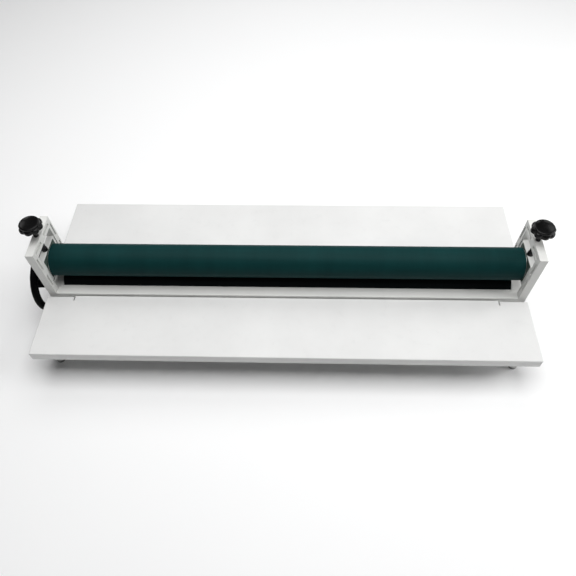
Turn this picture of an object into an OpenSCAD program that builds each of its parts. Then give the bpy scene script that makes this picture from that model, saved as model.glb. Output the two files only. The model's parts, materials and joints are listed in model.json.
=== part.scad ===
// Cold roll laminator: two rubber-covered rollers between two end frames, with a sheet-metal
// table before and behind them, a hand wheel on the lower roller and a pressure screw on each side.
// X runs along the rollers, -Y points to the operator and +Z is up, with the floor at z = 0.
// The modules work from the rollers' middle plane; in_part_frame() moves the result so that
// the origin is the middle of the whole machine's footprint on the floor.

/* [Rollers] */
// length of the upper roller's rubber face
roller_face = 1000; // [700:10:1300]
// outside diameter of both rollers' rubber
roller_d = 70; // [68:1:71]
// thickness of the rubber sleeves
rubber_t = 5; // [3:0.5:7]
// height of the lower roller's axis above the floor
lower_axis_z = 79.2; // [79:0.1:81]
// gap between the two closed rollers
nip_gap = 0.3; // [0.3:0.1:1]
// how much shorter the lower roller's rubber is at each end
lower_inset = 9; // [8:1:12]

/* [End frames] */
// depth of an end frame, front to rear
frame_depth = 109; // [105:1:120]
// thickness of an end frame along the rollers
frame_t = 16.5; // [16:0.5:20]
// gap between the upper rubber's end and an end frame
end_gap = 2; // [2:0.5:6]
// width of the window that the bearing blocks stand in
window_w = 80; // [78:1:82]
// height of the beam above the window
beam_h = 20.5; // [18:0.5:26]
// height of the pads under the end frames
pad_h = 10; // [6:1:14]
// how far the upper roller can rise
lift = 18; // [10:1:24]

/* [Tables] */
// width of both tables
table_w = 1046; // [1045:1:1060]
// depth of the front table
front_table_depth = 146.5; // [120:0.5:220]
// depth of the rear table
rear_table_depth = 159; // [120:0.5:220]
// height of the front table's top face
front_table_z = 92.5; // [86:0.5:94]
// height of the rear table's top face and of the bed between the end frames
bed_z = 98; // [97:0.5:99]
// height of the tables' bent-down edges
table_edge_h = 22; // [18:1:24]
// thickness of the tables' sheet
sheet_t = 1.5; // [1:0.1:2]
// gap between a table and the bed
table_gap = 1.5; // [1:0.5:4]

/* [Table posts] */
// diameter of the posts under the tables' outer corners
post_d = 20; // [16:1:26]
// distance from a table's side edge to a post's axis
post_side_inset = 26.5; // [20:0.5:60]
// distance from a table's free edge to a post's axis
post_edge_inset = 38.5; // [20:0.5:60]

/* [Hand wheel] */
// outside diameter of the hand wheel
wheel_d = 148; // [120:2:150]
// diameter of the round rim's section
rim_d = 16; // [12:1:20]
// number of broad spokes
spokes = 2; // [2:1:5]
// turn of the first spoke from upright, towards the rear
spoke_turn = -35; // [-60:5:60]

/* [Pressure screws] */
// diameter of the pressure screws
screw_d = 10; // [8:1:10]
// height of the knobs' underside above the end frames
knob_clearance = 23; // [18:0.5:30]
// largest diameter of a knob
knob_d = 49; // [46:1:54]
// height of a knob
knob_h = 17; // [17:1:26]
// number of lobes round a knob
knob_lobes = 8; // [6:1:9]

/* [Hidden] */
$fn = 72;
// radial clearance of a shaft or screw that turns or slides in its hole
running = 0.05;
// extra length of a cutting body past the face that it opens
cut = 1;

// rollers
roller_r = roller_d / 2;
core_r = roller_r - rubber_t;
tube_wall = 5;
tube_r = core_r - tube_wall;
plug_len = 30;
upper_axis_z = lower_axis_z + roller_d + nip_gap;
upper_half = roller_face / 2;
lower_half = upper_half - lower_inset;
ring_t = 1.5;
ring_r = roller_r - 1.5;
upper_journal_r = 8;
lower_journal_r = 10;
clip_t = 1.2;
clip_wall = 3;
clip_groove = 1;
clip_gap = 0.3;
journal_past_clip = 2;

// end frames
frame_inner = upper_half + end_gap;
frame_outer = frame_inner + frame_t;
frame_half = frame_depth / 2;
screw_x = frame_inner + frame_t / 2;
window_half = window_w / 2;
window_floor = 40;
foot_h = 7;
foot_seat = 1.5;
foot_r = 6.5;
block_top = upper_axis_z + 32.5;
block_bottom = upper_axis_z - 26.5;
window_top = block_top + foot_h + lift + 1;
frame_top = window_top + beam_h;
pocket_deep = 5.5;
beam_pocket_h = 7;
beam_pocket_from = 9;
beam_pocket_to = 42;
column_pocket_w = 4;
column_pocket_y = 48.5;
column_pockets = [[120, 157], [175, 211]];

// bearing blocks
block_clear = 0.2;
block_inner = frame_inner + 2;
block_outer = frame_outer - 1.5;
upper_bush_r = 11;
lower_bush_r = 12.5;
shoulder_x = lower_half + 1;
shoulder_half = 31.2;
shoulder_bottom = 50;
plate_t = 1.4;
plate_half = 32;
plate_above_bottom = 6;
plate_clear = 1;
clip_x = block_outer + clip_gap;
journal_end = clip_x + clip_t + journal_past_clip;

// bed rails and tie bars
rail_t = 2;
rail_bend = 2.5;
rail_slot = 31.5;
rail_bottom = 45;
tab_from = 41;
tab_bottom = 50;
rail_screw_y = 47;
rail_screw_z = [58, 84];
rail_screw_end = frame_inner - 6;
tie_r = 8;
tie_y = 36;
tie_z = 25;
block_screw_y = 24;
tie_screw_r = 4;
tie_hole_r = 4.2;
tie_head_r = 6.5;
tie_head_h = 8;
tie_head_clear = 0.5;
tie_recess = 8.2;
tie_bore = 26;
tie_screw_len = 32;
rail_screw_r = 2.5;
rail_screw_hole_r = 2.75;
rail_head_r = 4.75;
rail_head_h = 2.8;
block_screw_r = 3;
block_screw_slack = 0.2;
block_head_r = 5;
block_head_slack = 0.5;
block_head_h = 6;
block_recess = 7;
block_screw_in = 6;
block_screw_bore = 14;
block_socket_af = 5;
block_socket_deep = 4;
socket_share = 1.4;
frame_pad_r = 7.5;

// tables
bend_r = 2;
front_edge = -(frame_half + table_gap + front_table_depth);
rear_edge = frame_half + table_gap + rear_table_depth;
lip_w = 12;
notch_from = 460;
notch_deep = 4;
slit_w = 3;
slit_deep = 13;
table_screw_x = [-380, -130, 130, 380];
table_screw_r = 2.5;
table_screw_end = 1.5;
table_hole_r = 2.75;
rail_hole_r = 2.6;
small_head_r = 4.5;
small_head_h = 2.8;
front_screw_z = front_table_z - table_edge_h / 2;
rear_screw_z = bed_z - table_edge_h / 2;
spacer_r = 7;
nut_t = 4;
nut_af = 8;
post_pad_h = 6;
stud_r = 4;
stud_len = 26;
post_x = table_w / 2 - post_side_inset;

// hand wheel
wheel_r = wheel_d / 2;
rim_r = rim_d / 2;
ring_centre_r = wheel_r - rim_r;
wheel_x = frame_outer + 24.5;
hub_r = 21;
hub_in = 19;
hub_out = 8;
spoke_t = 10;
spoke_half_hub = 21.5;
spoke_half_rim = 22.5;
wheel_seat_r = 8;
seat_x = wheel_x - hub_in;
shaft_end_x = wheel_x + hub_out - 1;
key_w = 5;
key_from = 6.5;
key_to = 10.2;
key_start = wheel_x - 15;
key_len = 18;
washer_r = 9;
washer_t = 1.6;
bolt_head_h = 5.3;
bolt_af = 13;
bolt_r = 4;
bolt_len = 18;
wheel_side_x = wheel_x + hub_out + washer_t + bolt_head_h;

// pressure screws, knobs and lift springs
screw_r = screw_d / 2;
screw_tip_z = block_top + 1;
knob_z = frame_top + knob_clearance;
insert_r = 7.5;
insert_h = 12;
knob_boss = 3;
lobe_r = 6.5;
skirt_from = 2;
skirt_to = 12;
rim_section = 2.5;
knob_top_inset = 4;
knob_top_r = knob_d / 2 - knob_top_inset;
dish_r = knob_top_r - 4;
dish_deep = 2.5;
dish_sphere_r = (dish_r * dish_r + dish_deep * dish_deep) / (2 * dish_deep);
spring_r = 4.7;
wire_r = 0.8;
spring_seat = 2;
spring_seat_r = 7;
spring_turns = 5;
coil_steps = 20;
wire_sides = 8;
spring_from = bed_z - spring_seat;
spring_to = block_bottom + spring_seat;

// middle of the footprint, measured from the rollers' middle plane and axis
right_side_x = max(table_w / 2, screw_x + knob_d / 2);
mid_x = (right_side_x - wheel_side_x) / 2;
mid_y = (rear_edge + front_edge) / 2;

// ---- helpers ----

module in_part_frame() {
    translate([-mid_x, -mid_y, 0]) children();
}

// a box between its lowest and its highest corner
module box(low, high) {
    translate(low) cube(high - low);
}

// a round bar along X, from x0 to x1, on the axis at height z and depth y
module bar_x(r, x0, x1, z, y = 0) {
    translate([x0, y, z]) rotate([0, 90, 0]) cylinder(r = r, h = x1 - x0);
}

// a round bar along Y
module bar_y(r, y0, y1, x, z) {
    translate([x, y0, z]) rotate([-90, 0, 0]) cylinder(r = r, h = y1 - y0);
}

// a six-sided bar along Z, given its width across flats
module hex_bar(across_flats, h) {
    cylinder(r = across_flats / 2 / cos(30), h = h, $fn = 6);
}

// draws its children, which are made for the right-hand side, on the left too
module both_sides() {
    children();
    left_side() children();
}

module left_side() {
    mirror([1, 0, 0]) children();
}

module front_and_rear() {
    children();
    mirror([0, 1, 0]) children();
}

// ---- tables ----

// a slab whose top and upright edges are rounded, with its bottom left sharp
module bent_slab(w, d, h, r) {
    translate([r, r, 0]) cube([w - 2 * r, d - 2 * r, h]);
    translate([0, r, 0]) cube([w, d - 2 * r, h - r]);
    translate([r, 0, 0]) cube([w - 2 * r, d, h - r]);
    for (x = [r, w - r], y = [r, d - r]) {
        translate([x, y, 0]) cylinder(r = r, h = h - r);
        translate([x, y, h - r]) sphere(r = r);
    }
    for (y = [r, d - r]) {
        bar_x(r, r, w - r, h - r, y);
    }
    for (x = [r, w - r]) {
        bar_y(r, r, d - r, x, h - r);
    }
}

// a tray table with its free edge at y = 0 and its roller side at y = depth, bottom at z = 0
module tray_table(depth) {
    difference() {
        union() {
            difference() {
                translate([-table_w / 2, 0, 0]) bent_slab(table_w, depth, table_edge_h, bend_r);
                box([-table_w / 2 + sheet_t, sheet_t, -cut],
                    [table_w / 2 - sheet_t, depth - sheet_t, table_edge_h - sheet_t]);
            }
            box([-table_w / 2 + sheet_t, sheet_t, 0], [table_w / 2 - sheet_t, lip_w, sheet_t]);
        }
        both_sides() {
            box([notch_from, depth - notch_deep, -cut], [table_w, depth + cut, table_edge_h + cut]);
            box([notch_from, depth - slit_deep, -cut],
                [notch_from + slit_w, depth + cut, table_edge_h + cut]);
        }
        for (x = table_screw_x) {
            bar_y(table_hole_r, depth - sheet_t - cut, depth + cut, x, table_edge_h / 2);
        }
    }
}

module front_table() {
    color("white") in_part_frame()
        translate([0, front_edge, front_table_z - table_edge_h]) tray_table(front_table_depth);
}

module rear_table() {
    color("white") in_part_frame() mirror([0, 1, 0])
        translate([0, -rear_edge, bed_z - table_edge_h]) tray_table(rear_table_depth);
}

// one row of the screws that hold the rear table, at height z; the front row is its mirror image
module table_screw_row(z) {
    for (x = table_screw_x) {
        bar_y(small_head_r, frame_half - rail_t - small_head_h, frame_half - rail_t, x, z);
        bar_y(table_screw_r, frame_half - rail_t - cut,
            frame_half + table_gap + sheet_t + nut_t + table_screw_end, x, z);
    }
}

module table_spacer_row(z) {
    difference() {
        for (x = table_screw_x) {
            bar_y(spacer_r, frame_half, frame_half + table_gap, x, z);
        }
        for (x = table_screw_x) {
            bar_y(rail_hole_r, frame_half - cut, frame_half + table_gap + cut, x, z);
        }
    }
}

module table_nut_row(z) {
    for (x = table_screw_x) {
        translate([x, frame_half + table_gap + sheet_t, z]) rotate([-90, 0, 0]) difference() {
            hex_bar(nut_af, nut_t);
            translate([0, 0, -cut]) cylinder(r = table_screw_r + running, h = nut_t + 2 * cut);
        }
    }
}

module front_table_screws() {
    color("silver") in_part_frame() mirror([0, 1, 0]) table_screw_row(front_screw_z);
}

module rear_table_screws() {
    color("silver") in_part_frame() table_screw_row(rear_screw_z);
}

module front_table_spacers() {
    color("dimgray") in_part_frame() mirror([0, 1, 0]) table_spacer_row(front_screw_z);
}

module rear_table_spacers() {
    color("dimgray") in_part_frame() table_spacer_row(rear_screw_z);
}

module front_table_nuts() {
    color("silver") in_part_frame() mirror([0, 1, 0]) table_nut_row(front_screw_z);
}

module rear_table_nuts() {
    color("silver") in_part_frame() table_nut_row(rear_screw_z);
}

// ---- posts and pads that the machine stands on ----

// puts its children on the post axes: front posts with their top at the front table's
// underside, rear posts with theirs at the rear table's
module at_posts() {
    both_sides() {
        translate([post_x, front_edge + post_edge_inset, front_table_z - sheet_t]) children(0);
        translate([post_x, rear_edge - post_edge_inset, bed_z - sheet_t]) children(1);
    }
}

// a post that hangs from z = 0 down to its pad, for a table whose underside is at height top
module post(top) {
    difference() {
        translate([0, 0, post_pad_h - top]) cylinder(d = post_d, h = top - post_pad_h);
        translate([0, 0, -stud_len - cut]) cylinder(r = stud_r + running, h = stud_len + 2 * cut);
    }
}

module table_posts() {
    color("gainsboro") in_part_frame() at_posts() {
        post(front_table_z - sheet_t);
        post(bed_z - sheet_t);
    }
}

module stud() {
    translate([0, 0, -stud_len]) cylinder(r = stud_r, h = stud_len);
}

module post_studs() {
    color("silver") in_part_frame() at_posts() {
        stud();
        stud();
    }
}

module post_pad(top) {
    translate([0, 0, -top]) cylinder(d = post_d - 1, h = post_pad_h);
}

module post_pads() {
    color("gray") in_part_frame() at_posts() {
        post_pad(front_table_z - sheet_t);
        post_pad(bed_z - sheet_t);
    }
}

module frame_pads() {
    color("gray") in_part_frame() both_sides() front_and_rear()
        translate([screw_x, window_half, 0]) cylinder(r = frame_pad_r, h = pad_h);
}

// ---- end frames ----

// narrow cast pockets in the inner face, beside the window and above it
module frame_pockets() {
    front_and_rear() {
        box([frame_inner - cut, beam_pocket_from, frame_top - 2 * beam_pocket_h],
            [frame_inner + pocket_deep, beam_pocket_to, frame_top - beam_pocket_h]);
        for (span = column_pockets) {
            box([frame_inner - cut, column_pocket_y - column_pocket_w / 2, span[0]],
                [frame_inner + pocket_deep, column_pocket_y + column_pocket_w / 2, span[1]]);
        }
    }
}

module end_frame() {
    difference() {
        box([frame_inner, -frame_half, pad_h], [frame_outer, frame_half, frame_top]);
        box([frame_inner - cut, -window_half, window_floor],
            [frame_outer + cut, window_half, window_top]);
        frame_pockets();
        translate([screw_x, 0, window_top - cut])
            cylinder(r = screw_r + running, h = beam_h + 2 * cut);
        front_and_rear() {
            bar_x(tie_hole_r, frame_inner - cut, frame_outer + cut, tie_z, tie_y);
            bar_x(tie_head_r + tie_head_clear, frame_outer - tie_recess, frame_outer + cut, tie_z, tie_y);
            for (z = rail_screw_z) {
                bar_x(rail_screw_hole_r, frame_inner - cut, frame_outer + cut, z, rail_screw_y);
            }
            translate([screw_x, block_screw_y, pad_h - cut]) {
                cylinder(r = block_screw_r + block_screw_slack, h = window_floor - pad_h + 2 * cut);
                cylinder(r = block_head_r + block_head_slack, h = block_recess + cut);
            }
        }
    }
}

module right_end_frame() {
    color("whitesmoke") in_part_frame() end_frame();
}

module left_end_frame() {
    color("whitesmoke") in_part_frame() left_side() end_frame();
}

// ---- bed rails and tie bars between the end frames ----

// the rear rail; the front one is its mirror image with its screw holes at another height
module bed_rail(table_screw_z) {
    difference() {
        union() {
            box([-frame_inner, rail_slot, bed_z - rail_t],
                [frame_inner, frame_half - rail_bend, bed_z]);
            box([-frame_inner, frame_half - rail_t, rail_bottom],
                [frame_inner, frame_half, bed_z - rail_bend]);
            bar_x(rail_bend, -frame_inner, frame_inner, bed_z - rail_bend, frame_half - rail_bend);
            both_sides() {
                box([frame_inner - rail_t, tab_from, tab_bottom],
                    [frame_inner, frame_half - rail_t, bed_z - rail_t]);
            }
        }
        for (x = table_screw_x) {
            bar_y(rail_hole_r, frame_half - rail_t - cut, frame_half + cut, x, table_screw_z);
        }
        both_sides() {
            for (z = rail_screw_z) {
                bar_x(rail_screw_r + running, frame_inner - rail_t - cut, frame_inner + cut,
                    z, rail_screw_y);
            }
        }
    }
}

module front_bed_rail() {
    color("whitesmoke") in_part_frame() mirror([0, 1, 0]) bed_rail(front_screw_z);
}

module rear_bed_rail() {
    color("whitesmoke") in_part_frame() bed_rail(rear_screw_z);
}

module tie_bar() {
    difference() {
        bar_x(tie_r, -frame_inner, frame_inner, tie_z, tie_y);
        both_sides() bar_x(tie_screw_r + running, frame_inner - tie_bore, frame_inner + cut,
            tie_z, tie_y);
    }
}

module front_tie_bar() {
    color("darkgray") in_part_frame() mirror([0, 1, 0]) tie_bar();
}

module rear_tie_bar() {
    color("darkgray") in_part_frame() tie_bar();
}

// a socket-head screw along X with its head's outer face at x1
module socket_screw_x(x1, head_h, head_r, shank_r, shank_len, z, y) {
    difference() {
        union() {
            bar_x(head_r, x1 - head_h, x1, z, y);
            bar_x(shank_r, x1 - head_h - shank_len, x1 - head_h + cut, z, y);
        }
        translate([x1 - head_h / 2, y, z]) rotate([0, 90, 0]) hex_bar(shank_r * socket_share, head_h);
    }
}

module tie_bar_screws() {
    color("dimgray") in_part_frame() both_sides() front_and_rear()
        socket_screw_x(frame_outer - tie_recess + tie_head_h, tie_head_h, tie_head_r, tie_screw_r,
            tie_screw_len, tie_z, tie_y);
}

module rail_screws() {
    color("silver") in_part_frame() both_sides() front_and_rear() {
        for (z = rail_screw_z) {
            socket_screw_x(frame_outer + rail_head_h, rail_head_h, rail_head_r, rail_screw_r,
                frame_outer - rail_screw_end, z, rail_screw_y);
        }
    }
}

module block_screws() {
    color("dimgray") in_part_frame() both_sides() front_and_rear()
        translate([screw_x, block_screw_y, 0]) difference() {
            union() {
                translate([0, 0, pad_h + block_recess - block_head_h])
                    cylinder(r = block_head_r, h = block_head_h);
                translate([0, 0, pad_h + block_head_h])
                    cylinder(r = block_screw_r, h = window_floor - pad_h + block_screw_in);
            }
            translate([0, 0, pad_h]) hex_bar(block_socket_af, block_socket_deep);
        }
}

// ---- bearing blocks ----

module lower_block() {
    difference() {
        union() {
            box([frame_inner, -window_half + block_clear, window_floor],
                [block_outer, window_half - block_clear, bed_z]);
            box([shoulder_x, -shoulder_half, shoulder_bottom],
                [frame_inner + cut, shoulder_half, bed_z]);
        }
        bar_x(lower_bush_r, shoulder_x - cut, block_outer + cut, lower_axis_z);
        translate([screw_x, 0, spring_from]) cylinder(r = spring_seat_r, h = spring_seat + cut);
        front_and_rear() translate([screw_x, block_screw_y, window_floor - cut])
            cylinder(r = block_screw_r + running, h = block_screw_bore + cut);
    }
}

module left_lower_block() {
    color("gainsboro") in_part_frame() left_side() lower_block();
}

module right_lower_block() {
    color("gainsboro") in_part_frame() lower_block();
}

module bush(outer_r, journal_r, x0, z) {
    difference() {
        bar_x(outer_r, x0, block_outer, z);
        bar_x(journal_r + running, x0 - cut, block_outer + cut, z);
    }
}

module left_lower_bush() {
    color("goldenrod") in_part_frame() left_side()
        bush(lower_bush_r, lower_journal_r, shoulder_x, lower_axis_z);
}

module right_lower_bush() {
    color("goldenrod") in_part_frame()
        bush(lower_bush_r, lower_journal_r, shoulder_x, lower_axis_z);
}

module upper_block() {
    difference() {
        box([block_inner, -window_half + block_clear, block_bottom],
            [block_outer, window_half - block_clear, block_top]);
        bar_x(upper_bush_r, block_inner - cut, block_outer + cut, upper_axis_z);
        translate([screw_x, 0, block_top - foot_seat])
            cylinder(r = foot_r - foot_seat + running, h = foot_seat + cut);
        translate([screw_x, 0, block_bottom - cut])
            cylinder(r = spring_seat_r - 1, h = spring_seat + cut);
    }
}

module left_upper_block() {
    color("gainsboro") in_part_frame() left_side() upper_block();
}

module right_upper_block() {
    color("gainsboro") in_part_frame() upper_block();
}

module left_upper_bush() {
    color("goldenrod") in_part_frame() left_side()
        bush(upper_bush_r, upper_journal_r, block_inner, upper_axis_z);
}

module right_upper_bush() {
    color("goldenrod") in_part_frame()
        bush(upper_bush_r, upper_journal_r, block_inner, upper_axis_z);
}

// the dark plate on an upper block's inner face that takes the roller's end thrust
module thrust_plate() {
    difference() {
        box([block_inner - plate_t, -plate_half, block_bottom + plate_above_bottom],
            [block_inner, plate_half, block_top - plate_clear]);
        bar_x(upper_journal_r + plate_clear, block_inner - plate_t - cut, block_inner + cut,
            upper_axis_z);
    }
}

module left_thrust_plate() {
    color("dimgray") in_part_frame() left_side() thrust_plate();
}

module right_thrust_plate() {
    color("dimgray") in_part_frame() thrust_plate();
}

// ---- pressure screws, their feet and knobs, and the lift springs ----

// the cup that the screw's tip turns in: a register in the block, a collar and a coned top
module pressure_foot() {
    difference() {
        union() {
            translate([screw_x, 0, block_top - foot_seat])
                cylinder(r = foot_r - foot_seat, h = foot_seat + cut);
            translate([screw_x, 0, block_top]) cylinder(r = foot_r, h = foot_h / 2);
            translate([screw_x, 0, block_top + foot_h / 2])
                cylinder(r1 = foot_r, r2 = screw_r + 1, h = foot_h / 2);
        }
        translate([screw_x, 0, screw_tip_z]) cylinder(r = screw_r + running, h = foot_h + cut);
    }
}

module left_pressure_foot() {
    color("black") in_part_frame() left_side() pressure_foot();
}

module right_pressure_foot() {
    color("black") in_part_frame() pressure_foot();
}

module pressure_screw() {
    translate([screw_x, 0, screw_tip_z])
        cylinder(r = screw_r, h = knob_z + insert_h - screw_tip_z);
}

module left_pressure_screw() {
    color("black") in_part_frame() left_side() pressure_screw();
}

module right_pressure_screw() {
    color("black") in_part_frame() pressure_screw();
}

module knob_insert() {
    translate([screw_x, 0, knob_z]) difference() {
        cylinder(r = insert_r, h = insert_h);
        translate([0, 0, -cut]) cylinder(r = screw_r, h = insert_h + 2 * cut);
    }
}

module left_knob_insert() {
    color("goldenrod") in_part_frame() left_side() knob_insert();
}

module right_knob_insert() {
    color("goldenrod") in_part_frame() knob_insert();
}

module knob_lobe_ring() {
    for (i = [0 : knob_lobes - 1]) {
        rotate([0, 0, i * 360 / knob_lobes]) translate([knob_d / 2 - lobe_r, 0, skirt_from])
            cylinder(r = lobe_r, h = skirt_to - skirt_from);
    }
}

// a lobed knob with a dished top inside a round rim
module knob() {
    translate([screw_x, 0, knob_z]) difference() {
        union() {
            cylinder(r = insert_r + knob_boss, h = skirt_to);
            translate([0, 0, skirt_from]) cylinder(r = knob_d / 2 - lobe_r, h = skirt_to - skirt_from);
            knob_lobe_ring();
            translate([0, 0, skirt_to - cut])
                cylinder(r = knob_top_r, h = knob_h - rim_section - skirt_to + cut);
            cylinder(r = knob_top_r - rim_section, h = knob_h);
            translate([0, 0, knob_h - rim_section]) rotate_extrude()
                translate([knob_top_r - rim_section, 0]) circle(r = rim_section);
        }
        translate([0, 0, knob_h - dish_deep + dish_sphere_r]) sphere(r = dish_sphere_r);
        translate([0, 0, -cut]) cylinder(r = insert_r, h = insert_h + cut);
    }
}

module left_knob() {
    color("black") in_part_frame() left_side() knob();
}

module right_knob() {
    color("black") in_part_frame() knob();
}

// a compression spring between its seats in the lower and the upper block
module lift_spring() {
    translate([screw_x, 0, spring_from])
        linear_extrude(height = spring_to - spring_from, twist = -360 * spring_turns,
            slices = coil_steps * spring_turns, segments = wire_sides)
        translate([spring_r, 0]) circle(r = wire_r, $fn = wire_sides);
}

module left_lift_spring() {
    color("silver") in_part_frame() left_side() lift_spring();
}

module right_lift_spring() {
    color("silver") in_part_frame() lift_spring();
}

// ---- rollers ----

// a tube along X, centred on the machine
module tube_x(outer_r, inner_r, half, z) {
    difference() {
        bar_x(outer_r, -half, half, z);
        bar_x(inner_r, -half - cut, half + cut, z);
    }
}

// a journal for the right-hand end: a plug inside the tube, then the shaft, grooved for its clip
module journal(r, half, z) {
    difference() {
        union() {
            bar_x(tube_r, half - plug_len, half, z);
            bar_x(r, half - cut, journal_end, z);
        }
        clip_groove_cut(r, z);
    }
}

module clip_groove_cut(r, z) {
    difference() {
        bar_x(r + cut, clip_x, clip_x + clip_t, z);
        bar_x(r - clip_groove, clip_x - cut, clip_x + clip_t + cut, z);
    }
}

module clip(r, z) {
    difference() {
        bar_x(r + clip_wall - clip_groove, clip_x, clip_x + clip_t, z);
        bar_x(r - clip_groove, clip_x - cut, clip_x + clip_t + cut, z);
        box([clip_x - cut, -r / 2, z - 2 * r], [clip_x + clip_t + cut, r / 2, z]);
    }
}

module upper_roller_tube() {
    color("silver") in_part_frame() tube_x(core_r, tube_r, upper_half, upper_axis_z);
}

module upper_roller_rubber() {
    color("darkslategray") in_part_frame() tube_x(roller_r, core_r, upper_half, upper_axis_z);
}

module upper_roller_journals() {
    color("silver") in_part_frame() both_sides()
        journal(upper_journal_r, upper_half, upper_axis_z);
}

module upper_roller_rings() {
    color("silver") in_part_frame() both_sides() difference() {
        bar_x(ring_r, upper_half, upper_half + ring_t, upper_axis_z);
        bar_x(upper_journal_r, upper_half - cut, upper_half + ring_t + cut, upper_axis_z);
    }
}

module upper_roller_clips() {
    color("dimgray") in_part_frame() both_sides() clip(upper_journal_r, upper_axis_z);
}

module lower_roller_tube() {
    color("silver") in_part_frame() tube_x(core_r, tube_r, lower_half, lower_axis_z);
}

module lower_roller_rubber() {
    color("black") in_part_frame() tube_x(roller_r, core_r, lower_half, lower_axis_z);
}

module idle_journal() {
    color("silver") in_part_frame() journal(lower_journal_r, lower_half, lower_axis_z);
}

// the journal that carries the hand wheel, with a stepped seat, a keyway and a threaded end
module drive_journal() {
    color("silver") in_part_frame() left_side() difference() {
        union() {
            journal(lower_journal_r, lower_half, lower_axis_z);
            bar_x(lower_journal_r, journal_end - cut, seat_x, lower_axis_z);
            bar_x(wheel_seat_r, seat_x - cut, shaft_end_x, lower_axis_z);
        }
        bar_x(bolt_r, shaft_end_x - bolt_len, shaft_end_x + cut, lower_axis_z);
        box([key_start, -key_w / 2, lower_axis_z + key_from],
            [key_start + key_len, key_w / 2, lower_axis_z + key_to]);
    }
}

module lower_roller_clips() {
    color("dimgray") in_part_frame() both_sides() clip(lower_journal_r, lower_axis_z);
}

// ---- hand wheel ----

// puts its children on the hand wheel's centre, with their Z axis pointing outwards
module at_wheel() {
    translate([-wheel_x, 0, lower_axis_z]) rotate([0, -90, 0]) children();
}

module wheel_spokes() {
    translate([0, 0, -spoke_t / 2]) linear_extrude(height = spoke_t) {
        for (i = [0 : spokes - 1]) {
            rotate(spoke_turn + i * 360 / spokes) polygon([
                [0, -spoke_half_hub], [ring_centre_r, -spoke_half_rim],
                [ring_centre_r, spoke_half_rim], [0, spoke_half_hub]
            ]);
        }
    }
}

module hand_wheel() {
    color("black") in_part_frame() at_wheel() difference() {
        union() {
            rotate_extrude() translate([ring_centre_r, 0]) circle(r = rim_r);
            translate([0, 0, -hub_in]) cylinder(r = hub_r, h = hub_in + hub_out);
            wheel_spokes();
        }
        translate([0, 0, -hub_in - cut])
            cylinder(r = wheel_seat_r, h = hub_in + hub_out + 2 * cut);
        translate([key_from, -key_w / 2, -hub_in - cut])
            cube([key_to - key_from, key_w, hub_in + hub_out + 2 * cut]);
    }
}

module wheel_key() {
    color("silver") in_part_frame() left_side()
        box([key_start, -key_w / 2, lower_axis_z + key_from],
            [key_start + key_len, key_w / 2, lower_axis_z + key_to]);
}

module wheel_washer() {
    color("silver") in_part_frame() at_wheel() translate([0, 0, hub_out]) difference() {
        cylinder(r = washer_r, h = washer_t);
        translate([0, 0, -cut]) cylinder(r = bolt_r + running, h = washer_t + 2 * cut);
    }
}

module wheel_bolt() {
    color("silver") in_part_frame() at_wheel() {
        translate([0, 0, hub_out + washer_t]) hex_bar(bolt_af, bolt_head_h);
        translate([0, 0, hub_out - bolt_len]) cylinder(r = bolt_r, h = bolt_len + washer_t);
    }
}

// ---- the assembly ----

front_table();
rear_table();
front_bed_rail();
rear_bed_rail();
left_end_frame();
right_end_frame();
front_tie_bar();
rear_tie_bar();
tie_bar_screws();
rail_screws();
block_screws();
frame_pads();
front_table_screws();
rear_table_screws();
front_table_spacers();
rear_table_spacers();
front_table_nuts();
rear_table_nuts();
table_posts();
post_studs();
post_pads();
left_lower_block();
right_lower_block();
left_lower_bush();
right_lower_bush();
left_upper_block();
right_upper_block();
left_upper_bush();
right_upper_bush();
left_thrust_plate();
right_thrust_plate();
left_pressure_foot();
right_pressure_foot();
left_lift_spring();
right_lift_spring();
upper_roller_tube();
upper_roller_rubber();
upper_roller_journals();
upper_roller_rings();
upper_roller_clips();
lower_roller_tube();
lower_roller_rubber();
drive_journal();
idle_journal();
lower_roller_clips();
hand_wheel();
wheel_key();
wheel_washer();
wheel_bolt();
left_pressure_screw();
right_pressure_screw();
left_knob();
right_knob();
left_knob_insert();
right_knob_insert();
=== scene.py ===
"""Looks of the cold roll laminator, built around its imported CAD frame."""

import json
import math

import bpy
from mathutils import Matrix, Vector


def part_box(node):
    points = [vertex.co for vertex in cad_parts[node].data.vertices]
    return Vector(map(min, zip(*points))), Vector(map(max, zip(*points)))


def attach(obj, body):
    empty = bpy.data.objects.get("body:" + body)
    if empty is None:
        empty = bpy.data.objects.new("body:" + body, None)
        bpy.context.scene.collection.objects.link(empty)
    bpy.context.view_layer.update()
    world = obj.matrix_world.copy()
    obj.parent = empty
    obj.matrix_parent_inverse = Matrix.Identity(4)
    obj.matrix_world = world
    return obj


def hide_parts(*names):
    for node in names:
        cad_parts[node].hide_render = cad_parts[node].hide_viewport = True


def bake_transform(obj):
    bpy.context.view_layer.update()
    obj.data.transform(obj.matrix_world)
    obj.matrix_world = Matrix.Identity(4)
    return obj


MM = 0.001
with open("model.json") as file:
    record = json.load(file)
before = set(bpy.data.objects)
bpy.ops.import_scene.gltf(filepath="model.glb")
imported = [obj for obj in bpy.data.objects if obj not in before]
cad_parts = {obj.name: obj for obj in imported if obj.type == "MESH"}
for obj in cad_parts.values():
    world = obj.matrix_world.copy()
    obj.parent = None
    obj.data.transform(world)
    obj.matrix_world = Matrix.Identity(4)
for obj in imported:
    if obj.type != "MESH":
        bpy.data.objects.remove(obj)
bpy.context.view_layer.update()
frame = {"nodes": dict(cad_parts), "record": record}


# ---------------------------------------------------------------- places, from the frame
def middle(node):
    """The middle of a CAD node's box."""
    low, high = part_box(node)
    return (low + high) / 2


UPPER_AXIS = middle("upper_roller_rubber")
LOWER_AXIS = Vector((UPPER_AXIS.x, UPPER_AXIS.y, middle("lower_roller_rubber").z))
WHEEL_CENTRE = middle("hand_wheel")


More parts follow.
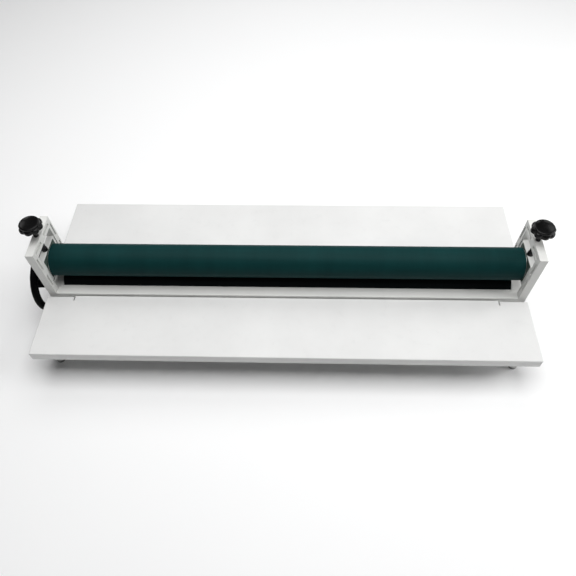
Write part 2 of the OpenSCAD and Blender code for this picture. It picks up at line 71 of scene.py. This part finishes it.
# ---------------------------------------------------------------- node helpers
class Look:
    """A material under construction: a Principled shader and short calls that add nodes to it."""

    def __init__(self, name, metallic=0.0, roughness=0.5):
        self.mat = bpy.data.materials.new(name)
        self.mat.use_nodes = True
        self.nodes = self.mat.node_tree.nodes
        self.links = self.mat.node_tree.links
        self.shader = self.nodes["Principled BSDF"]
        self.put("Metallic", metallic)
        self.put("Roughness", roughness)
        self.point = self.add("ShaderNodeTexCoord").outputs["Object"]

    def put(self, name, value):
        self.shader.inputs[name].default_value = value

    def add(self, kind, **settings):
        node = self.nodes.new(kind)
        for key, value in settings.items():
            setattr(node, key, value)
        return node

    def wire(self, source, target):
        self.links.new(source, target)

    def feed(self, name, source):
        self.links.new(source, self.shader.inputs[name])

    def stretch(self, scale, origin=(0, 0, 0)):
        """The object's own coordinates, moved to origin and multiplied by scale on each axis."""
        node = self.add("ShaderNodeMapping")
        node.inputs["Scale"].default_value = scale
        node.inputs["Location"].default_value = [-o * s for o, s in zip(origin, scale)]
        self.wire(self.point, node.inputs["Vector"])
        return node.outputs["Vector"]

    def noise(self, scale, detail=3.0, roughness=0.55, vector=None):
        node = self.add("ShaderNodeTexNoise")
        node.inputs["Scale"].default_value = scale
        node.inputs["Detail"].default_value = detail
        node.inputs["Roughness"].default_value = roughness
        self.wire(vector or self.point, node.inputs["Vector"])
        return node.outputs["Fac"]

    def specks(self, scale, size):
        """A mask that is 1 in small round spots scattered about one per cell."""
        node = self.add("ShaderNodeTexVoronoi")
        node.inputs["Scale"].default_value = scale
        self.wire(self.point, node.inputs["Vector"])
        return self.remap(node.outputs["Distance"], 0.0, size, 1.0, 0.0)

    def remap(self, source, low, high, to_low=0.0, to_high=1.0):
        node = self.add("ShaderNodeMapRange")
        ends = {"From Min": low, "From Max": high, "To Min": to_low, "To Max": to_high}
        for key, value in ends.items():
            node.inputs[key].default_value = value
        self.wire(source, node.inputs["Value"])
        return node.outputs["Result"]

    def maths(self, operation, a, b):
        """One sum on two values, each a number or a socket."""
        node = self.add("ShaderNodeMath", operation=operation)
        for socket, value in zip(node.inputs, (a, b)):
            if isinstance(value, (int, float)):
                socket.default_value = value
            else:
                self.wire(value, socket)
        return node.outputs["Value"]

    def mix(self, mask, a, b):
        """Colour a where the mask is 0 and b where it is 1; a and b are colours or sockets."""
        node = self.add("ShaderNodeMix", data_type="RGBA")
        self.wire(mask, node.inputs["Factor"])
        for key, value in (("A", a), ("B", b)):
            socket = [s for s in node.inputs if s.name == key and s.type == "RGBA"][0]
            if isinstance(value, (tuple, list)):
                socket.default_value = (*value[:3], 1.0)
            else:
                self.wire(value, socket)
        return [s for s in node.outputs if s.type == "RGBA"][0]

    def edges(self, radius):
        """A mask of the shape's outside edges, and the softened normal that goes with it."""
        soft = self.add("ShaderNodeBevel", samples=6)
        soft.inputs["Radius"].default_value = radius
        geometry = self.add("ShaderNodeNewGeometry")
        dot = self.add("ShaderNodeVectorMath", operation="DOT_PRODUCT")
        self.wire(soft.outputs["Normal"], dot.inputs[0])
        self.wire(geometry.outputs["Normal"], dot.inputs[1])
        return self.remap(dot.outputs["Value"], 0.995, 0.80), soft.outputs["Normal"]

    def bump(self, height, strength, distance, normal=None):
        node = self.add("ShaderNodeBump")
        node.inputs["Strength"].default_value = strength
        node.inputs["Distance"].default_value = distance
        self.wire(height, node.inputs["Height"])
        if normal is not None:
            self.wire(normal, node.inputs["Normal"])
        return node.outputs["Normal"]


def enamel(name, colour, roughness, peel, peel_height, chips):
    """White powder coat or paint: orange peel, some grime, thinner greyer paint on the edges."""
    look = Look(name, roughness=roughness)
    worn, soft = look.edges(0.9 * MM)
    clouds = look.noise(7.0, 4.0)
    grime = look.remap(look.noise(55.0, 6.0, 0.7), 0.56, 0.80)
    dull = tuple(c * 0.93 for c in colour)
    base = look.mix(look.remap(clouds, 0.35, 0.70), colour, dull)
    base = look.mix(look.maths("MULTIPLY", grime, 0.30), base, tuple(c * 0.80 for c in colour))
    broken = look.maths("MULTIPLY", worn, look.remap(look.noise(160.0, 4.0), 0.50, 0.62))
    base = look.mix(look.maths("MULTIPLY", broken, chips), base, (0.42, 0.42, 0.41))
    patches = look.remap(look.noise(11.0), 0.55, 0.60)
    spots = look.maths("MULTIPLY", look.specks(38.0, 0.035), patches)
    base = look.mix(look.maths("MULTIPLY", spots, 0.45), base, (0.30, 0.29, 0.28))
    look.feed("Base Color", base)
    gloss = look.noise(30.0, 5.0)
    look.feed("Roughness", look.remap(gloss, 0.3, 0.7, roughness - 0.06, roughness + 0.08))
    look.feed("Normal", look.bump(look.noise(peel, 2.0), 0.30, peel_height, soft))
    return look.mat


def turned_rubber(name, colour, dust_and_sheen_colour, roughness, axis):
    """Ground roller rubber: fine rings round the axis, faint bands along it, dust in the pores and
    painted sheen on the edges, both in a lighter sheen tint.
    """
    look = Look(name, roughness=roughness)
    rings = look.noise(1.0, 5.0, 0.7, look.stretch((2600.0, 30.0, 30.0), axis))
    bands = look.noise(1.0, 3.0, 0.6, look.stretch((26.0, 5.0, 5.0), axis))
    lengthwise = look.noise(1.0, 4.0, 0.6, look.stretch((3.0, 60.0, 60.0), axis))
    base = look.mix(look.remap(bands, 0.3, 0.7), colour, tuple(c * 1.22 for c in colour))
    darker = tuple(c * 0.78 for c in colour)
    base = look.mix(look.remap(lengthwise, 0.45, 0.75, 0.0, 0.45), base, darker)
    # specks of dust in the pores, coloured with the lighter sheen tint
    dust = look.maths("MULTIPLY", look.remap(look.noise(900.0, 2.0), 0.60, 0.72), 0.16)
    base = look.mix(dust, base, dust_and_sheen_colour)
    worn, soft = look.edges(0.7 * MM)
    # painted sheen: the edges are lightened towards the sheen tint
    base = look.mix(look.maths("MULTIPLY", worn, 0.35), base, dust_and_sheen_colour)
    look.feed("Base Color", base)
    look.feed("Roughness", look.remap(rings, 0.3, 0.7, roughness - 0.05, roughness + 0.07))
    look.feed("Normal", look.bump(rings, 0.35, 0.06 * MM, soft))
    look.put("Specular IOR Level", 0.06)
    return look.mat


def steel(name, colour, roughness, grain, axis, stain=(0.30, 0.27, 0.24), stain_share=0.25):
    """Bare or plated metal with machining marks; grain is the noise scale on each axis."""
    look = Look(name, metallic=1.0, roughness=roughness)
    marks = look.noise(1.0, 4.0, 0.65, look.stretch(grain, axis))
    tarnish = look.remap(look.noise(48.0, 5.0, 0.65), 0.52, 0.76)
    worn, soft = look.edges(0.35 * MM)
    base = look.mix(look.remap(marks, 0.3, 0.7), colour, tuple(c * 0.82 for c in colour))
    base = look.mix(look.maths("MULTIPLY", tarnish, stain_share), base, stain)
    bright = tuple(min(1.0, c * 1.25) for c in colour)
    base = look.mix(look.maths("MULTIPLY", worn, 0.5), base, bright)
    look.feed("Base Color", base)
    look.feed("Roughness", look.remap(marks, 0.25, 0.75, roughness - 0.08, roughness + 0.12))
    look.feed("Normal", look.bump(marks, 0.30, 0.05 * MM, soft))
    return look.mat


def moulded(name, colour, roughness, specular, grain, grain_height, edge, scuff):
    """Dark moulded plastic: fine grain, a rubbed edge and a few greyish scuffs."""
    look = Look(name, roughness=roughness)
    worn, soft = look.edges(0.8 * MM)
    rubs = look.remap(look.noise(1.0, 5.0, 0.7, look.stretch((40.0, 160.0, 60.0))), 0.58, 0.78)
    clouds = look.remap(look.noise(25.0, 3.0), 0.3, 0.7)
    base = look.mix(clouds, colour, tuple(c * 1.6 for c in colour))
    base = look.mix(look.maths("MULTIPLY", rubs, scuff), base, (0.040, 0.040, 0.040))
    base = look.mix(look.maths("MULTIPLY", worn, edge), base, (0.050, 0.050, 0.050))
    look.feed("Base Color", base)
    gloss = look.remap(look.noise(70.0, 4.0), 0.3, 0.7, roughness - 0.05, roughness + 0.07)
    look.feed("Roughness", look.maths("ADD", gloss, look.maths("MULTIPLY", rubs, 0.12)))
    look.feed("Normal", look.bump(look.noise(grain, 2.0), 0.25, grain_height, soft))
    look.put("Specular IOR Level", specular)
    return look.mat


def soft_pad(name, colour):
    """Rubber of pads and spacers: matt, dusty, a little mottled."""
    look = Look(name, roughness=0.78)
    worn, soft = look.edges(0.5 * MM)
    dusty = look.remap(look.noise(120.0, 5.0, 0.7), 0.45, 0.75)
    pale = tuple(min(1.0, c * 1.7 + 0.02) for c in colour)
    base = look.mix(look.maths("MULTIPLY", dusty, 0.5), colour, pale)
    base = look.mix(look.maths("MULTIPLY", worn, 0.4), base, tuple(c * 0.6 for c in colour))
    look.feed("Base Color", base)
    look.feed("Roughness", look.remap(dusty, 0.0, 1.0, 0.70, 0.86))
    look.feed("Normal", look.bump(look.noise(1400.0, 2.0), 0.3, 0.08 * MM, soft))
    return look.mat


def porous_bronze(name):
    """Sintered bronze: open pores and darker oil stains."""
    look = Look(name, metallic=1.0, roughness=0.42)
    pores = look.specks(1500.0, 0.30)
    oil = look.remap(look.noise(90.0, 4.0), 0.45, 0.70)
    base = look.mix(oil, (0.56, 0.36, 0.16), (0.36, 0.22, 0.10))
    base = look.mix(look.maths("MULTIPLY", pores, 0.6), base, (0.14, 0.09, 0.05))
    look.feed("Base Color", base)
    look.feed("Roughness", look.remap(oil, 0.0, 1.0, 0.48, 0.30))
    look.feed("Normal", look.bump(pores, 0.5, -0.06 * MM))
    return look.mat


# grain scales of the metals on X, Y and Z: fine across the marks, coarse along them
TURNED_GRAIN = (2200.0, 25.0, 25.0)
FACED_GRAIN = (60.0, 700.0, 700.0)
DRAWN_GRAIN = (20.0, 1500.0, 1500.0)
UPRIGHT_GRAIN = (80.0, 80.0, 1800.0)
BRASS_GRAIN = (60.0, 60.0, 1800.0)
POST_GRAIN = (40.0, 40.0, 1500.0)


def even(scale):
    """Grain of one scale in every direction."""
    return (scale, scale, scale)


def paints():
    """The three white paints, alike in colour and different in texture."""
    table, body, block = (0.730, 0.730, 0.722), (0.730, 0.732, 0.710), (0.730, 0.732, 0.715)
    return {
        "table_enamel": enamel("table powder coat", table, 0.46, 900.0, 0.05 * MM, 0.25),
        "frame_enamel": enamel("frame enamel", body, 0.42, 420.0, 0.14 * MM, 0.55),
        "block_enamel": enamel("block enamel", block, 0.40, 520.0, 0.10 * MM, 0.60),
    }


def roller_rubbers():
    """The green upper covering and the black lower one."""
    return {
        # the second colour of each rubber is a sheen tint, used for pore dust and painted sheen on the
        # edges
        "green_silicone": turned_rubber("green silicone rubber", (0.0036, 0.0300, 0.0300),
                                        (0.016, 0.064, 0.064), 0.50, UPPER_AXIS),
        "black_rubber": turned_rubber("black roller rubber", (0.0030, 0.0048, 0.0052),
                                      (0.018, 0.022, 0.022), 0.55, LOWER_AXIS),
    }


def bright_metals():
    """Bare, plated and drawn metal."""
    return {
        "roller_steel": steel("turned roller steel", (0.56, 0.56, 0.55), 0.30, TURNED_GRAIN,
                              UPPER_AXIS),
        "bright_ring": steel("bright faced ring", (0.74, 0.74, 0.73), 0.34, FACED_GRAIN,
                             UPPER_AXIS, stain_share=0.12),
        "plated_bar": steel("drawn tie bar", (0.58, 0.58, 0.59), 0.33, DRAWN_GRAIN, LOWER_AXIS),
        "zinc_hardware": steel("bright zinc", (0.68, 0.70, 0.72), 0.28, even(500.0), LOWER_AXIS,
                               (0.40, 0.42, 0.38), 0.35),
        "spring_steel": steel("phosphated clips", (0.16, 0.16, 0.17), 0.45, even(300.0),
                              UPPER_AXIS),
        "spring_wire": steel("drawn spring wire", (0.55, 0.55, 0.57), 0.30, even(900.0),
                             UPPER_AXIS),
        "post_metal": steel("grey turned posts", (0.62, 0.62, 0.61), 0.44, POST_GRAIN,
                            LOWER_AXIS, (0.45, 0.45, 0.44), 0.30),
    }


def coloured_metals():
    """Blackened steel, brass and bronze."""
    knob_place = tuple(middle("left_knob"))
    return {
        "black_screw": steel("black oxide screws", (0.060, 0.060, 0.064), 0.38, even(600.0),
                             LOWER_AXIS, (0.12, 0.08, 0.05), 0.20),
        "blackened_steel": steel("oiled black steel", (0.045, 0.045, 0.048), 0.32, UPRIGHT_GRAIN,
                                 knob_place, (0.10, 0.08, 0.06), 0.20),
        "brass_insert": steel("turned brass", (0.66, 0.50, 0.22), 0.28, BRASS_GRAIN,
                              knob_place, (0.30, 0.20, 0.08), 0.30),
        "bronze_bush": porous_bronze("sintered bronze"),
    }


def plastics_and_pads():
    """The mouldings and the rubber pads."""
    return {
        "knob_plastic": moulded("glossy knob moulding", (0.0025, 0.0025, 0.0026), 0.20, 0.20,
                                500.0, 0.05 * MM, 0.30, 0.18),
        # painted shade: the plates on the blocks' inner faces are made this dark green-grey to stand
        # in for the shade in the gaps at the roller ends, partly a dark plate and partly painted shade
        "plate_nylon": moulded("thrust plate nylon in painted shade", (0.048, 0.068, 0.058), 0.55, 0.12,
                               700.0, 0.06 * MM, 0.20, 0.30),
        "wheel_plastic": moulded("hand wheel moulding", (0.0010, 0.0010, 0.0011), 0.45, 0.05,
                                 900.0, 0.08 * MM, 0.25, 0.22),
        "pad_rubber": soft_pad("grey pad rubber", (0.24, 0.24, 0.24)),
        "spacer_rubber": soft_pad("black spacer rubber", (0.025, 0.025, 0.025)),
    }


def materials():
    """One finished material for each of the record's slots."""
    return {**paints(), **roller_rubbers(), **bright_metals(), **coloured_metals(),
            **plastics_and_pads()}


def dress_frame(looks):
    """Gives every CAD node the finished material of its slot."""
    slot_of = {part["node"]: part["material_slot"] for part in frame["record"]["subparts"]}
    for name, obj in frame["nodes"].items():
        for slot in obj.material_slots:
            slot.material = looks[slot_of[name]]
        if not obj.material_slots:
            obj.data.materials.append(looks[slot_of[name]])


# ---------------------------------------------------------------- mesh helpers
def mesh_object(name, verts, faces, material, smooth=True):
    """A new object made of the given points and faces."""
    mesh = bpy.data.meshes.new(name)
    mesh.from_pydata([tuple(v) for v in verts], [], faces)
    mesh.validate()
    mesh.polygons.foreach_set("use_smooth", [smooth] * len(mesh.polygons))
    mesh.materials.append(material)
    obj = bpy.data.objects.new(name, mesh)
    bpy.context.scene.collection.objects.link(obj)
    return obj


def rings_to_faces(rings, around):
    """Quads between neighbouring rings of points, each ring closed on itself."""
    faces = []
    for i in range(rings - 1):
        for j in range(around):
            k = (j + 1) % around
            here, above = i * around, (i + 1) * around
            faces.append((here + j, here + k, above + k, above + j))
    return faces


def apply_modifiers(obj):
    """Bakes the object's modifiers into its mesh."""
    graph = bpy.context.evaluated_depsgraph_get()
    baked = bpy.data.meshes.new_from_object(obj.evaluated_get(graph))
    obj.modifiers.clear()
    obj.data = baked
    return obj


def stand_for(piece, node, body):
    """The piece is shown in place of a CAD node and moves with its body."""
    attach(piece, body)
    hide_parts(node)
    return piece


# ---------------------------------------------------------------- knobs
KNOB_LOBES = 8
KNOB_AROUND = 192
# rings of the knob from its blind bore, round the skirt and over the rim to the dish:
# radius between the lobes, radius on the lobes and height, in millimetres
KNOB_PROFILE = (
    (0.05, 0.05, 12.1), (7.55, 7.55, 12.1), (7.55, 7.55, 0.3), (7.9, 7.9, 0.0), (10.1, 10.1, 0.0),
    (10.5, 10.5, 0.4), (10.7, 10.7, 1.9), (18.0, 20.4, 2.0), (20.4, 23.4, 2.4), (21.0, 24.2, 3.4),
    (21.2, 24.5, 5.6), (21.1, 24.4, 8.2), (20.9, 24.0, 10.0), (20.6, 23.0, 11.2), (20.5, 21.6, 11.9),
    (20.5, 20.9, 12.3), (20.5, 20.5, 13.2), (20.5, 20.5, 14.8), (20.2, 20.2, 15.9), (19.4, 19.4, 16.6),
    (18.1, 18.1, 17.0), (17.0, 17.0, 16.8), (16.1, 16.1, 16.2), (12.0, 12.0, 15.5), (8.0, 8.0, 15.0),
    (4.0, 4.0, 14.7), (0.05, 0.05, 14.6),
)
KNOB_HEIGHT = 17 * MM
LOBE_FULLNESS = 0.85


def lobe_share(angle):
    """0 between two lobes and 1 on a lobe's crown, with a full round crown."""
    return abs(math.cos(angle * KNOB_LOBES / 2)) ** LOBE_FULLNESS


def knob(side, looks):
    """The lobed knob of one side, stretched to the height of its CAD node."""
    low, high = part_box(f"{side}_knob")
    centre = (low + high) / 2
    stretch = (high.z - low.z) / KNOB_HEIGHT
    verts = []
    for valley, crown, height in KNOB_PROFILE:
        for i in range(KNOB_AROUND):
            angle = 2 * math.pi * i / KNOB_AROUND
            r = (valley + (crown - valley) * lobe_share(angle)) * MM
            verts.append((centre.x + r * math.cos(angle), centre.y + r * math.sin(angle),
                          low.z + height * MM * stretch))
    faces = rings_to_faces(len(KNOB_PROFILE), KNOB_AROUND)
    piece = mesh_object(f"{side}_knob_moulding", verts, faces, looks["knob_plastic"])
    rounding = piece.modifiers.new("rounding", "SUBSURF")
    rounding.levels = 1
    rounding.render_levels = 1
    apply_modifiers(piece)
    return stand_for(piece, f"{side}_knob", f"{side}_screw")


# ---------------------------------------------------------------- threaded pressure screws
SCREW_PITCH = 1.5 * MM
THREAD_DEPTH = 0.55 * MM
SCREW_AROUND = 36
RINGS_PER_PITCH = 9


def pressure_screw(side, looks):
    """A screw with a real thread that runs out over one pitch at each end."""
    low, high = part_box(f"{side}_pressure_screw")
    centre = (low + high) / 2
    radius = (high.x - low.x) / 2
    count = int((high.z - low.z) / SCREW_PITCH * RINGS_PER_PITCH)
    verts = []
    for ring in range(count + 1):
        z = low.z + (high.z - low.z) * ring / count
        taper = min(1.0, ring / RINGS_PER_PITCH, (count - ring) / RINGS_PER_PITCH)
        for i in range(SCREW_AROUND):
            turn = i / SCREW_AROUND
            along = ((z - low.z) / SCREW_PITCH - turn) % 1.0
            groove = abs(2 * along - 1)
            r = radius - THREAD_DEPTH * max(groove, 1 - taper)
            angle = 2 * math.pi * turn
            verts.append((centre.x + r * math.cos(angle), centre.y + r * math.sin(angle), z))
    faces = rings_to_faces(count + 1, SCREW_AROUND)
    faces.append(tuple(range(SCREW_AROUND))[::-1])
    faces.append(tuple(count * SCREW_AROUND + i for i in range(SCREW_AROUND)))
    piece = mesh_object(f"{side}_threaded_screw", verts, faces, looks["blackened_steel"])
    return stand_for(piece, f"{side}_pressure_screw", f"{side}_screw")


# ---------------------------------------------------------------- lift springs
SPRING_TURNS = 6
SPRING_STEPS = 28
WIRE_RADIUS = 0.8 * MM
WIRE_SIDES = 10
END_RISE = 0.03


def coil_height(share):
    """How far up the spring the wire is: the first and the last turn lie nearly flat."""
    flat = 1.0 / SPRING_TURNS
    if share < flat:
        return END_RISE * share / flat
    if share > 1 - flat:
        return 1 - END_RISE * (1 - share) / flat
    return END_RISE + (1 - 2 * END_RISE) * (share - flat) / (1 - 2 * flat)


def lift_spring(side, looks):
    """The coil that lifts one end of the upper roller, stretched between base and carriage."""
    low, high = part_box(f"{side}_lift_spring")
    centre = (low + high) / 2
    coil_r = (high.x - low.x) / 2 - WIRE_RADIUS
    bottom = low.z + WIRE_RADIUS
    travel = high.z - low.z - 2 * WIRE_RADIUS
    steps = SPRING_TURNS * SPRING_STEPS
    verts = []
    for i in range(steps + 1):
        angle = 2 * math.pi * i / SPRING_STEPS
        z = bottom + travel * coil_height(i / steps)
        for k in range(WIRE_SIDES):
            turn = 2 * math.pi * k / WIRE_SIDES
            r = coil_r + WIRE_RADIUS * math.cos(turn)
            verts.append((centre.x + r * math.cos(angle), centre.y + r * math.sin(angle),
                          z + WIRE_RADIUS * math.sin(turn)))
    faces = rings_to_faces(steps + 1, WIRE_SIDES)
    faces.append(tuple(range(WIRE_SIDES))[::-1])
    faces.append(tuple(steps * WIRE_SIDES + k for k in range(WIRE_SIDES)))
    piece = mesh_object(f"{side}_lift_coil", verts, faces, looks["spring_wire"])
    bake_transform(piece)
    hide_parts(f"{side}_lift_spring")
    return piece


# ---------------------------------------------------------------- hand wheel
WHEEL_SPOKES = 2
SPOKE_TURN = math.radians(-35)
RIM_RADIUS = 8 * MM
HUB_RADIUS = 21 * MM
HUB_INSET = 1 * MM
NEAR_AXIS = 0.0001
SPOKE_START = 8 * MM
SPOKE_HALF_WIDTH = 21.5 * MM
SPOKE_FLARE = 1.0 * MM
SPOKE_HALF_THICK = 5.0 * MM
SPOKE_WAIST = 0.9 * MM
FUSE_VOXEL = 1.0 * MM


def turned_shape(profile, around):
    """Points and faces of a closed profile of (radius, height) pairs turned about Z."""
    verts = []
    for r, z in profile:
        for i in range(around):
            angle = 2 * math.pi * i / around
            verts.append(Vector((r * math.cos(angle), r * math.sin(angle), z)))
    faces = rings_to_faces(len(profile), around)
    last = (len(profile) - 1) * around
    for i in range(around):
        k = (i + 1) % around
        faces.append((last + i, last + k, k, i))
    return verts, faces


def rim_shape(ring_r):
    """The rim, a ring of round section."""
    sides = 24
    turns = [2 * math.pi * i / sides for i in range(sides)]
    profile = [(ring_r + RIM_RADIUS * math.cos(t), RIM_RADIUS * math.sin(t)) for t in turns]
    return turned_shape(profile, 240)


def hub_shape(low, high):
    """The hub: a stepped boss with rounded edges, solid, because the shaft fills its bore."""
    profile = [(NEAR_AXIS, low), (HUB_RADIUS - 4 * MM, low), (HUB_RADIUS - 2.5 * MM, low + 1.5 * MM),
               (HUB_RADIUS - 2 * MM, low + 8 * MM), (HUB_RADIUS - 0.5 * MM, low + 11 * MM),
               (HUB_RADIUS, high - 5 * MM), (HUB_RADIUS - 1 * MM, high - 1.5 * MM),
               (HUB_RADIUS - 3.5 * MM, high), (NEAR_AXIS, high)]
    return turned_shape(profile, 96)


def spoke_shape(turn, ring_r):
    """Half of the broad bar across the wheel, with crowned faces, a little wider at the rim."""
    verts = []
    rings, sides = 15, 28
    for i in range(rings):
        share = i / (rings - 1)
        x = SPOKE_START + (ring_r - SPOKE_START) * share
        half = SPOKE_HALF_WIDTH + SPOKE_FLARE * share
        thick = SPOKE_HALF_THICK - SPOKE_WAIST * math.sin(math.pi * share)
        for k in range(sides):
            angle = 2 * math.pi * k / sides
            y = half * math.copysign(abs(math.cos(angle)) ** 0.35, math.cos(angle))
            z = thick * math.copysign(abs(math.sin(angle)) ** 0.55, math.sin(angle))
            verts.append(Matrix.Rotation(turn, 3, "Z") @ Vector((x, y, z)))
    faces = rings_to_faces(rings, sides)
    faces.append(tuple(range(sides))[::-1])
    faces.append(tuple((rings - 1) * sides + k for k in range(sides)))
    return verts, faces


def hand_wheel(looks):
    """Rim, hub and broad bar fused into one solid moulding with soft fillets."""
    low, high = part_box("hand_wheel")
    ring_r = (high.z - low.z) / 2 - RIM_RADIUS
    centre = Vector((low.x + RIM_RADIUS, WHEEL_CENTRE.y, WHEEL_CENTRE.z))
    hub_in = -(high.x - centre.x)
    hub_out = centre.x - low.x - HUB_INSET
    parts = [rim_shape(ring_r), hub_shape(hub_in, hub_out)]
    for i in range(WHEEL_SPOKES):
        parts.append(spoke_shape(SPOKE_TURN + i * 2 * math.pi / WHEEL_SPOKES, ring_r))
    verts, faces = [], []
    for part_verts, part_faces in parts:
        faces += [tuple(len(verts) + i for i in face) for face in part_faces]
        verts += part_verts
    place = Matrix.Translation(centre) @ Matrix.Rotation(-math.pi / 2, 4, "Y")
    placed = [place @ v for v in verts]
    piece = mesh_object("hand_wheel_moulding", placed, faces, looks["wheel_plastic"])
    fuse = piece.modifiers.new("fuse", "REMESH")
    fuse.mode = "VOXEL"
    fuse.voxel_size = FUSE_VOXEL
    fuse.use_smooth_shade = True
    fillet = piece.modifiers.new("fillet", "SMOOTH")
    fillet.factor = 0.6
    fillet.iterations = 8
    apply_modifiers(piece)
    if not piece.data.materials:
        piece.data.materials.append(looks["wheel_plastic"])
    return stand_for(piece, "hand_wheel", "lower_roller")


# ---------------------------------------------------------------- camera, light and floor
CAMERA_FROM_AXIS = Vector((43.47, -718.9, 931.77)) * MM
CAMERA_YAW = math.radians(-3.03)
CAMERA_PITCH = math.radians(55.08)
CAMERA_ROLL = math.radians(-1.86)
CAMERA_LENS = 34.168
SENSOR_WIDTH = 36
VIEW_DEPTH = 50
FLOOR_HALF = 6.0
LIGHT_TARGET = (0.0, 0.0, 0.1)


def camera():
    """A camera above and in front of the front table, looking down on the rollers."""
    forward = Vector((math.sin(CAMERA_YAW) * math.cos(CAMERA_PITCH),
                      math.cos(CAMERA_YAW) * math.cos(CAMERA_PITCH), -math.sin(CAMERA_PITCH)))
    level = Vector((math.cos(CAMERA_YAW), -math.sin(CAMERA_YAW), 0))
    above = level.cross(forward)
    right = math.cos(CAMERA_ROLL) * level + math.sin(CAMERA_ROLL) * above
    up = -math.sin(CAMERA_ROLL) * level + math.cos(CAMERA_ROLL) * above
    data = bpy.data.cameras.new("camera")
    data.sensor_width = SENSOR_WIDTH
    data.lens = CAMERA_LENS
    data.clip_end = VIEW_DEPTH
    obj = bpy.data.objects.new("camera", data)
    turn = Matrix((right, up, -forward)).transposed().to_4x4()
    obj.matrix_world = Matrix.Translation(UPPER_AXIS + CAMERA_FROM_AXIS) @ turn
    bpy.context.scene.collection.objects.link(obj)
    bpy.context.scene.camera = obj


def softbox(name, place, size, watts):
    """A white rectangular light aimed at the machine."""
    data = bpy.data.lights.new(name, "AREA")
    data.shape = "RECTANGLE"
    data.size, data.size_y = size
    data.energy = watts
    obj = bpy.data.objects.new(name, data)
    aim = (Vector(LIGHT_TARGET) - Vector(place)).to_track_quat("-Z", "Y")
    obj.matrix_world = Matrix.Translation(place) @ aim.to_matrix().to_4x4()
    bpy.context.scene.collection.objects.link(obj)


def floor():
    """A pale sheet that everything stands on."""
    look = Look("pale floor", roughness=0.9)
    look.feed("Base Color", look.mix(look.noise(1.5), (0.93, 0.93, 0.93), (0.95, 0.95, 0.95)))
    corners = [(x * FLOOR_HALF, y * FLOOR_HALF, 0) for x, y in ((-1, -1), (1, -1), (1, 1), (-1, 1))]
    sheet = mesh_object("floor", corners, [(0, 1, 2, 3)], look.mat, smooth=False)


def studio():
    """A faint even sky and three large soft lights."""
    world = bpy.data.worlds.new("studio")
    world.use_nodes = True
    background = world.node_tree.nodes["Background"]
    background.inputs["Color"].default_value = (0.97, 0.985, 1.0, 1.0)
    background.inputs["Strength"].default_value = 0.10
    bpy.context.scene.world = world
    bpy.context.scene.view_settings.view_transform = "Standard"
    softbox("overhead", (0.0, 0.0, 2.4), (2.4, 1.6), 46)
    softbox("behind", (0.0, 1.7, 2.0), (2.4, 1.2), 19)
    softbox("right side", (2.2, 0.0, 1.5), (1.2, 1.2), 27)


# ---------------------------------------------------------------- the scene
def build():
    """Everything in the scene, in order."""
    looks = materials()
    camera()
    studio()
    floor()
    dress_frame(looks)
    for side in ("left", "right"):
        knob(side, looks)
        pressure_screw(side, looks)
        lift_spring(side, looks)
    hand_wheel(looks)


build()
